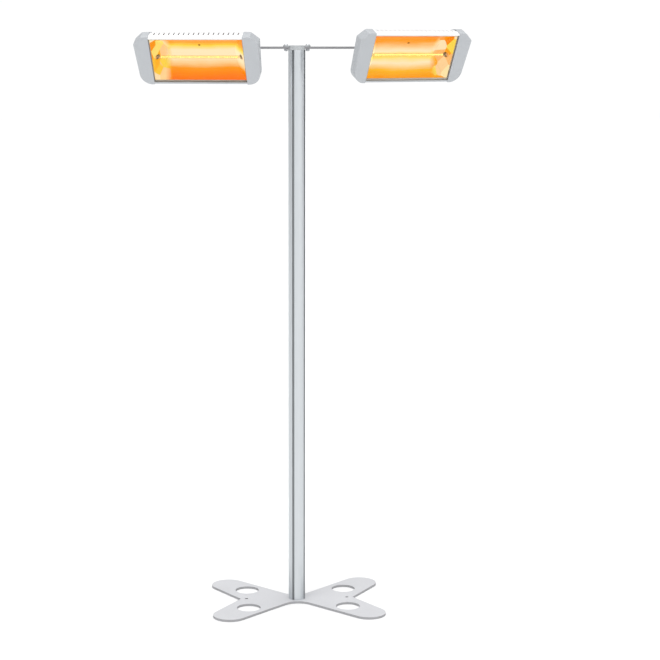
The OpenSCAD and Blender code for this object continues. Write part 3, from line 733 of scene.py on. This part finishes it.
def place_bolts(node, body, direction, head_t, shank_r, kind, spin=0.0):
    """Bolts for a node's solids, each with its head towards direction."""
    spans = fastener_spans(node, direction)
    length = spans[0][2] - spans[0][1] - head_t
    pattern = bolt(widest(node, direction), head_t, shank_r, length, kind, node + "_set")
    places = [along(direction, c + direction * (high - head_t), spin) for c, low, high in spans]
    piece = join_copies(pattern, places, node + "_set")
    return finish_piece(piece, node, body, MATERIALS["steel"])


def place_nuts(node, body, direction, hole_r, spin=0.0):
    spans = fastener_spans(node, direction)
    height = spans[0][2] - spans[0][1]
    pattern = nut_pattern(widest(node, direction), hole_r, height, node + "_set")
    places = [along(direction, c + direction * low, spin) for c, low, high in spans]
    piece = join_copies(pattern, places, node + "_set")
    return finish_piece(piece, node, body, MATERIALS["steel"])


# ------------------------------------------------------------------ operators

class HeaterOperator:
    """What all the heater's operators share."""
    bl_options = {"REGISTER", "UNDO"}

    @property
    def edges(self):
        return bpy.context.scene.heater_edges


class HEATER_OT_camera(HeaterOperator, bpy.types.Operator):
    """Stand the camera in front of the heater, a little to the left and looking slightly down"""
    bl_idname = "heater.camera"
    bl_label = "Camera"

    def execute(self, context):
        view = context.scene.heater_camera
        data = bpy.data.cameras.new("Camera")
        data.sensor_width = 36.0
        data.lens = view.lens
        data.shift_x = view.shift
        camera = bpy.data.objects.new("Camera", data)
        context.scene.collection.objects.link(camera)
        away = Vector((-math.sin(view.turn), -math.cos(view.turn), 0))
        camera.location = away * view.distance + UP * view.height
        camera.rotation_euler = (math.pi / 2 - view.pitch, 0, -view.turn)
        context.scene.camera = camera
        return {"FINISHED"}


class HEATER_OT_stage(HeaterOperator, bpy.types.Operator):
    """Lay a plain pale floor and hang soft studio lights"""
    bl_idname = "heater.stage"
    bl_label = "Stage"

    def execute(self, context):
        deselect()
        bpy.ops.mesh.primitive_plane_add(size=80, location=(0, 0, -0.0005))
        floor = context.object
        floor.name = "floor"
        bpy.ops.object.transform_apply(location=True)
        pale = Finish("Pale floor", (0.93, 0.93, 0.93), 0.9)
        pale.shade(pale.noise(3.0), (0.92, 0.92, 0.92), 0.01)
        floor.data.materials.append(pale.material)
        self.make_world(context.scene)
        self.sun("Key", (-0.5, -0.75, 0.9), math.radians(50), 0.9)
        self.sun("Fill", (0.7, -0.6, 0.35), math.radians(60), 0.35)
        self.sun("Top", (0.1, 0.15, 1.0), math.radians(60), 1.5)
        context.scene.view_settings.view_transform = "Standard"
        return {"FINISHED"}

    def make_world(self, scene):
        """White all round for the camera, and a studio with darker sides for the reflections."""
        world = bpy.data.worlds.new("Studio")
        scene.world = world
        world.use_nodes = True
        tree = world.node_tree
        tree.nodes.clear()
        add = tree.nodes.new
        direction = add("ShaderNodeTexCoord")
        split = add("ShaderNodeSeparateXYZ")
        tree.links.new(direction.outputs["Generated"], split.inputs["Vector"])
        ramp = add("ShaderNodeValToRGB")
        half = add("ShaderNodeMapRange")
        half.inputs["From Min"].default_value = -1
        tree.links.new(split.outputs["Y"], half.inputs["Value"])
        tree.links.new(half.outputs["Result"], ramp.inputs["Fac"])
        shades = [(0.0, 0.95), (0.3, 0.62), (0.5, 0.3), (0.7, 0.42), (1.0, 0.7)]
        while len(ramp.color_ramp.elements) < len(shades):
            ramp.color_ramp.elements.new(1.0)
        for element, (position, grey) in zip(ramp.color_ramp.elements, shades):
            element.position = position
            element.color = (grey, grey, grey * 1.01, 1)
        studio = add("ShaderNodeBackground")
        tree.links.new(ramp.outputs["Color"], studio.inputs["Color"])
        white = add("ShaderNodeBackground")
        white.inputs["Color"].default_value = (1, 1, 1, 1)
        white.inputs["Strength"].default_value = 1.02
        rays = add("ShaderNodeLightPath")
        mix = add("ShaderNodeMixShader")
        output = add("ShaderNodeOutputWorld")
        tree.links.new(rays.outputs["Is Camera Ray"], mix.inputs["Fac"])
        tree.links.new(studio.outputs["Background"], mix.inputs[1])
        tree.links.new(white.outputs["Background"], mix.inputs[2])
        tree.links.new(mix.outputs["Shader"], output.inputs["Surface"])

    def sun(self, name, towards, spread, strength):
        """A soft, distant light that shines from the direction towards."""
        data = bpy.data.lights.new(name, "SUN")
        data.angle = spread
        data.energy = strength
        lamp = bpy.data.objects.new(name, data)
        bpy.context.scene.collection.objects.link(lamp)
        lamp.rotation_euler = Vector(towards).to_track_quat("Z", "Y").to_euler()


class HEATER_OT_floor_plate(HeaterOperator, bpy.types.Operator):
    """Model the petal-shaped floor plate with rounded edges, and its sunk bolts"""
    bl_idname = "heater.floor_plate"
    bl_label = "Floor plate"

    def execute(self, context):
        softened_node("base_plate", "stand", MATERIALS["plate"], self.edges.plate_edge, 3)
        softened_node("base_bolts", "stand", MATERIALS["steel"], self.edges.sheet_edge)
        return {"FINISHED"}


class HEATER_OT_pole(HeaterOperator, bpy.types.Operator):
    """Model the two grooved pole sections, the parts inside them and their screws"""
    bl_idname = "heater.pole"
    bl_label = "Pole"

    def execute(self, context):
        for node in ("lower_pole", "upper_pole"):
            softened_node(node, "stand", MATERIALS["pole"], self.edges.pole_edge)
        paint_node("pole_joiner", MATERIALS["pole"])
        paint_node("base_plug", MATERIALS["pole"])
        middle = sum(islands("pole_screws")[0], Vector())
        out = Vector((middle.x, middle.y, 0)).normalized()
        place_bolts("pole_screws", "stand", out, 3 * MM, 3 * MM, "button")
        return {"FINISHED"}


class HEATER_OT_arms(HeaterOperator, bpy.types.Operator):
    """Model the crown, the two slotted arms and their clamp bolts"""
    bl_idname = "heater.arms"
    bl_label = "Crown and arms"

    def execute(self, context):
        softened_node("crown", "stand", MATERIALS["crown"], self.edges.bar_edge)
        for side in SIDES:
            softened_node(side + "_arm", "stand", MATERIALS["arm"], self.edges.bar_edge)
        place_bolts("arm_bolts", "stand", UP, 4.4 * MM, 4 * MM, "button")
        place_nuts("arm_nuts", "stand", UP, 4 * MM)
        return {"FINISHED"}


class HEATER_OT_yokes(HeaterOperator, bpy.types.Operator):
    """Model the pan bolts, yokes, tilt bolts and head brackets"""
    bl_idname = "heater.yokes"
    bl_label = "Yokes"

    def execute(self, context):
        place_bolts("pan_bolts", "stand", -UP, 5.3 * MM, 4 * MM, "hex")
        place_nuts("pan_nuts", "stand", UP, 4 * MM)
        softened_node("pan_washers", "stand", MATERIALS["steel"], 0.3 * MM)
        for side in SIDES:
            turned = HEADS[side].to_3x3()
            across, back = turned.col[0].copy(), turned.col[1].copy()
            softened_node(side + "_yoke", side + "_yoke", MATERIALS["arm"], self.edges.bar_edge)
            place_bolts(side + "_tilt_bolt", side + "_yoke", -across, 5.3 * MM, 4 * MM, "hex")
            place_nuts(side + "_tilt_nut", side + "_yoke", across, 4 * MM)
            softened_node(side + "_head_bracket", side + "_head", MATERIALS["arm"],
                          self.edges.bar_edge)
            place_bolts(side + "_bracket_bolts", side + "_head", back, 3 * MM, 3 * MM, "button")
        return {"FINISHED"}


class HEATER_OT_housings(HeaterOperator, bpy.types.Operator):
    """Model the white housings, their end caps, screws and cable glands"""
    bl_idname = "heater.housings"
    bl_label = "Housings and caps"

    def execute(self, context):
        for side in SIDES:
            body = side + "_head"
            back = HEADS[side].to_3x3().col[1].copy()
            softened_node(side + "_housing", body, MATERIALS["housing"], self.edges.sheet_edge)
            for cap in ("_inner_cap", "_outer_cap"):
                softened_node(side + cap, body, MATERIALS["cap"], self.edges.cap_edge, 3, 35)
            place_bolts(side + "_cap_screws", body, back, 2 * MM, 1.75 * MM, "button")
            softened_node(side + "_cable_gland", body, MATERIALS["nylon"], 0.5 * MM)
        return {"FINISHED"}


class HEATER_OT_windows(HeaterOperator, bpy.types.Operator):
    """Model the window panes, their gaskets and the trims above and below them"""
    bl_idname = "heater.windows"
    bl_label = "Windows"

    def execute(self, context):
        for side in SIDES:
            body = side + "_head"
            softened_node(side + "_top_trim", body, MATERIALS["housing"], self.edges.bar_edge)
            softened_node(side + "_bottom_trim", body, MATERIALS["cap"], self.edges.bar_edge)
            softened_node(side + "_glass", body, MATERIALS["glass"], self.edges.sheet_edge)
            paint_node(side + "_gasket", MATERIALS["gasket"])
            self.seals(side)
        return {"FINISHED"}

    def seals(self, side):
        """Dark seal beads on the glass along the window's upright edges."""
        low, high = box_in(side + "_gasket", HEADS[side])
        edge = box_in(side + "_outer_cap", HEADS[side])
        window = min(abs(edge[0].x), abs(edge[1].x))
        face = box_in(side + "_glass", HEADS[side])[0].y
        tall = high.z - low.z - 2 * SEAL_MARGIN
        for name, sign in (("_left_seal", -1), ("_right_seal", 1)):
            deselect()
            bpy.ops.mesh.primitive_cube_add(size=1, location=(sign * (window - SEAL_WIDTH / 2),
                                                              face - SEAL_DEPTH / 2, 0))
            piece = bpy.context.object
            piece.scale = (SEAL_WIDTH, SEAL_DEPTH, tall)
            bpy.ops.object.transform_apply(location=True, scale=True)
            soften(piece, 0.5 * MM, 3)
            piece.name = side + name
            piece.data.transform(HEADS[side])
            piece.data.materials.append(MATERIALS["seal"])
            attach(piece, side + "_head")


class HEATER_OT_reflectors(HeaterOperator, bpy.types.Operator):
    """Line the heads with reflectors and their sloping end panels, with the lamps' light painted on
    them as glow
    """
    bl_idname = "heater.reflectors"
    bl_label = "Reflectors"

    def execute(self, context):
        for side in SIDES:
            self.line(side + "_reflector", side)
            self.line(side + "_reflector_ends", side)
            softened_node(side + "_reflector_rivet", side + "_head", MATERIALS["rivet"], 0.5 * MM)
        return {"FINISHED"}

    def line(self, node, side):
        """Paints the lamp's glow on the faces of a reflector sheet that look at the lamp, and leaves
        its back bare.
        """
        piece = merged_copy(node, node + "_body")
        finish_piece(piece, node, side + "_head", MATERIALS["reflector_" + side])
        piece.data.materials.append(MATERIALS["sheet_back"])
        inverse = HEADS[side].inverted()
        low, high = box_in(side + "_lamp_tube", HEADS[side])
        lamp = (low + high) / 2
        # Painted glow goes on the faces turned to the lamp; the backs keep plain metal.
        for face in piece.data.polygons:
            away = inverse @ face.center - lamp
            outward = inverse.to_3x3() @ face.normal
            face.material_index = int(outward.dot(away) > 0)


class HEATER_OT_lamps(HeaterOperator, bpy.types.Operator):
    """Model the quartz tubes with their coiled filaments, ceramic ends and terminals"""
    bl_idname = "heater.lamps"
    bl_label = "Lamps"

    def execute(self, context):
        for side in SIDES:
            paint_node(side + "_lamp_tube", MATERIALS["quartz"])
            self.filament(side)
            paint_node(side + "_terminal_block", MATERIALS["ceramic"])
            # The lamp ends and holders carry painted glow from the lamp.
            for node in ("_lamp_ends", "_lamp_holders"):
                paint_node(side + node, MATERIALS["painted_glow_ceramic"])
        return {"FINISHED"}

    def filament(self, side):
        """A coil of tungsten wire along the lamp, held by discs that touch the quartz."""
        node = side + "_filament"
        low, high = box_in(node, HEADS[side])
        pitch = self.edges.coil_pitch
        wire_r = 0.38 * MM
        coil_r = 1.3 * MM
        run = high.x - low.x - 2 * wire_r
        turns = int(run / pitch)
        deselect()
        bpy.ops.mesh.primitive_circle_add(vertices=5, radius=wire_r, fill_type="NOTHING",
                                          location=(coil_r, 0, 0), rotation=(math.pi / 2, 0, 0))
        coil = bpy.context.object
        bpy.ops.object.transform_apply(location=True, rotation=True)
        screw = coil.modifiers.new("Coil", "SCREW")
        screw.axis = "Z"
        screw.screw_offset = run / turns
        screw.iterations = turns
        screw.steps = screw.render_steps = 10
        screw.use_merge_vertices = True
        apply_all(coil)
        middle = (low + high) / 2
        stand = Matrix.Translation((low.x + wire_r, middle.y, middle.z))
        coil.data.transform(stand @ Matrix.Rotation(math.pi / 2, 4, "Y"))
        supports = []
        count = 9
        for i in range(count):
            deselect()
            x = middle.x + (run / 2) * (2 * i / (count - 1) - 1) * 0.98
            bpy.ops.mesh.primitive_torus_add(
                major_segments=20, minor_segments=6, major_radius=3.4 * MM, minor_radius=0.4 * MM,
                location=(x, middle.y, middle.z), rotation=(0, math.pi / 2, 0))
            ring = bpy.context.object
            bpy.ops.object.transform_apply(location=True, rotation=True)
            supports.append(ring)
        whole = joined([coil] + supports, node + "_coil")
        whole.data.transform(HEADS[side])
        bpy.ops.object.shade_smooth()
        finish_piece(whole, node, side + "_head", MATERIALS["filament"])


class HEATER_PT_panel(bpy.types.Panel):
    """Lists the heater's steps and settings"""
    bl_idname = "HEATER_PT_panel"
    bl_label = "Outdoor heater"
    bl_space_type = "VIEW_3D"
    bl_region_type = "UI"
    bl_category = "Heater"

    def draw(self, context):
        for group in (context.scene.heater_look, context.scene.heater_edges,
                      context.scene.heater_camera):
            for name in group.__annotations__:
                self.layout.prop(group, name)
        for step in STEPS:
            self.layout.operator(step.bl_idname)


STEPS = (HEATER_OT_camera, HEATER_OT_stage, HEATER_OT_floor_plate, HEATER_OT_pole,
         HEATER_OT_arms, HEATER_OT_yokes, HEATER_OT_housings, HEATER_OT_windows,
         HEATER_OT_reflectors, HEATER_OT_lamps)
SETTINGS = {"heater_look": HeaterLook, "heater_edges": HeaterEdges,
            "heater_camera": HeaterCamera}


def register():
    for group in SETTINGS.values():
        bpy.utils.register_class(group)
    for name, group in SETTINGS.items():
        setattr(bpy.types.Scene, name, PointerProperty(type=group))
    for step in STEPS:
        bpy.utils.register_class(step)
    bpy.utils.register_class(HEATER_PT_panel)


def unregister():
    bpy.utils.unregister_class(HEATER_PT_panel)
    for step in reversed(STEPS):
        bpy.utils.unregister_class(step)
    for name, group in SETTINGS.items():
        delattr(bpy.types.Scene, name)
        bpy.utils.unregister_class(group)


def main():
    register()
    deselect()
    make_materials(bpy.context.scene.heater_look)
    for step in STEPS:
        area, name = step.bl_idname.split(".")
        getattr(getattr(bpy.ops, area), name)()
    deselect()


if __name__ == "__main__":
    main()
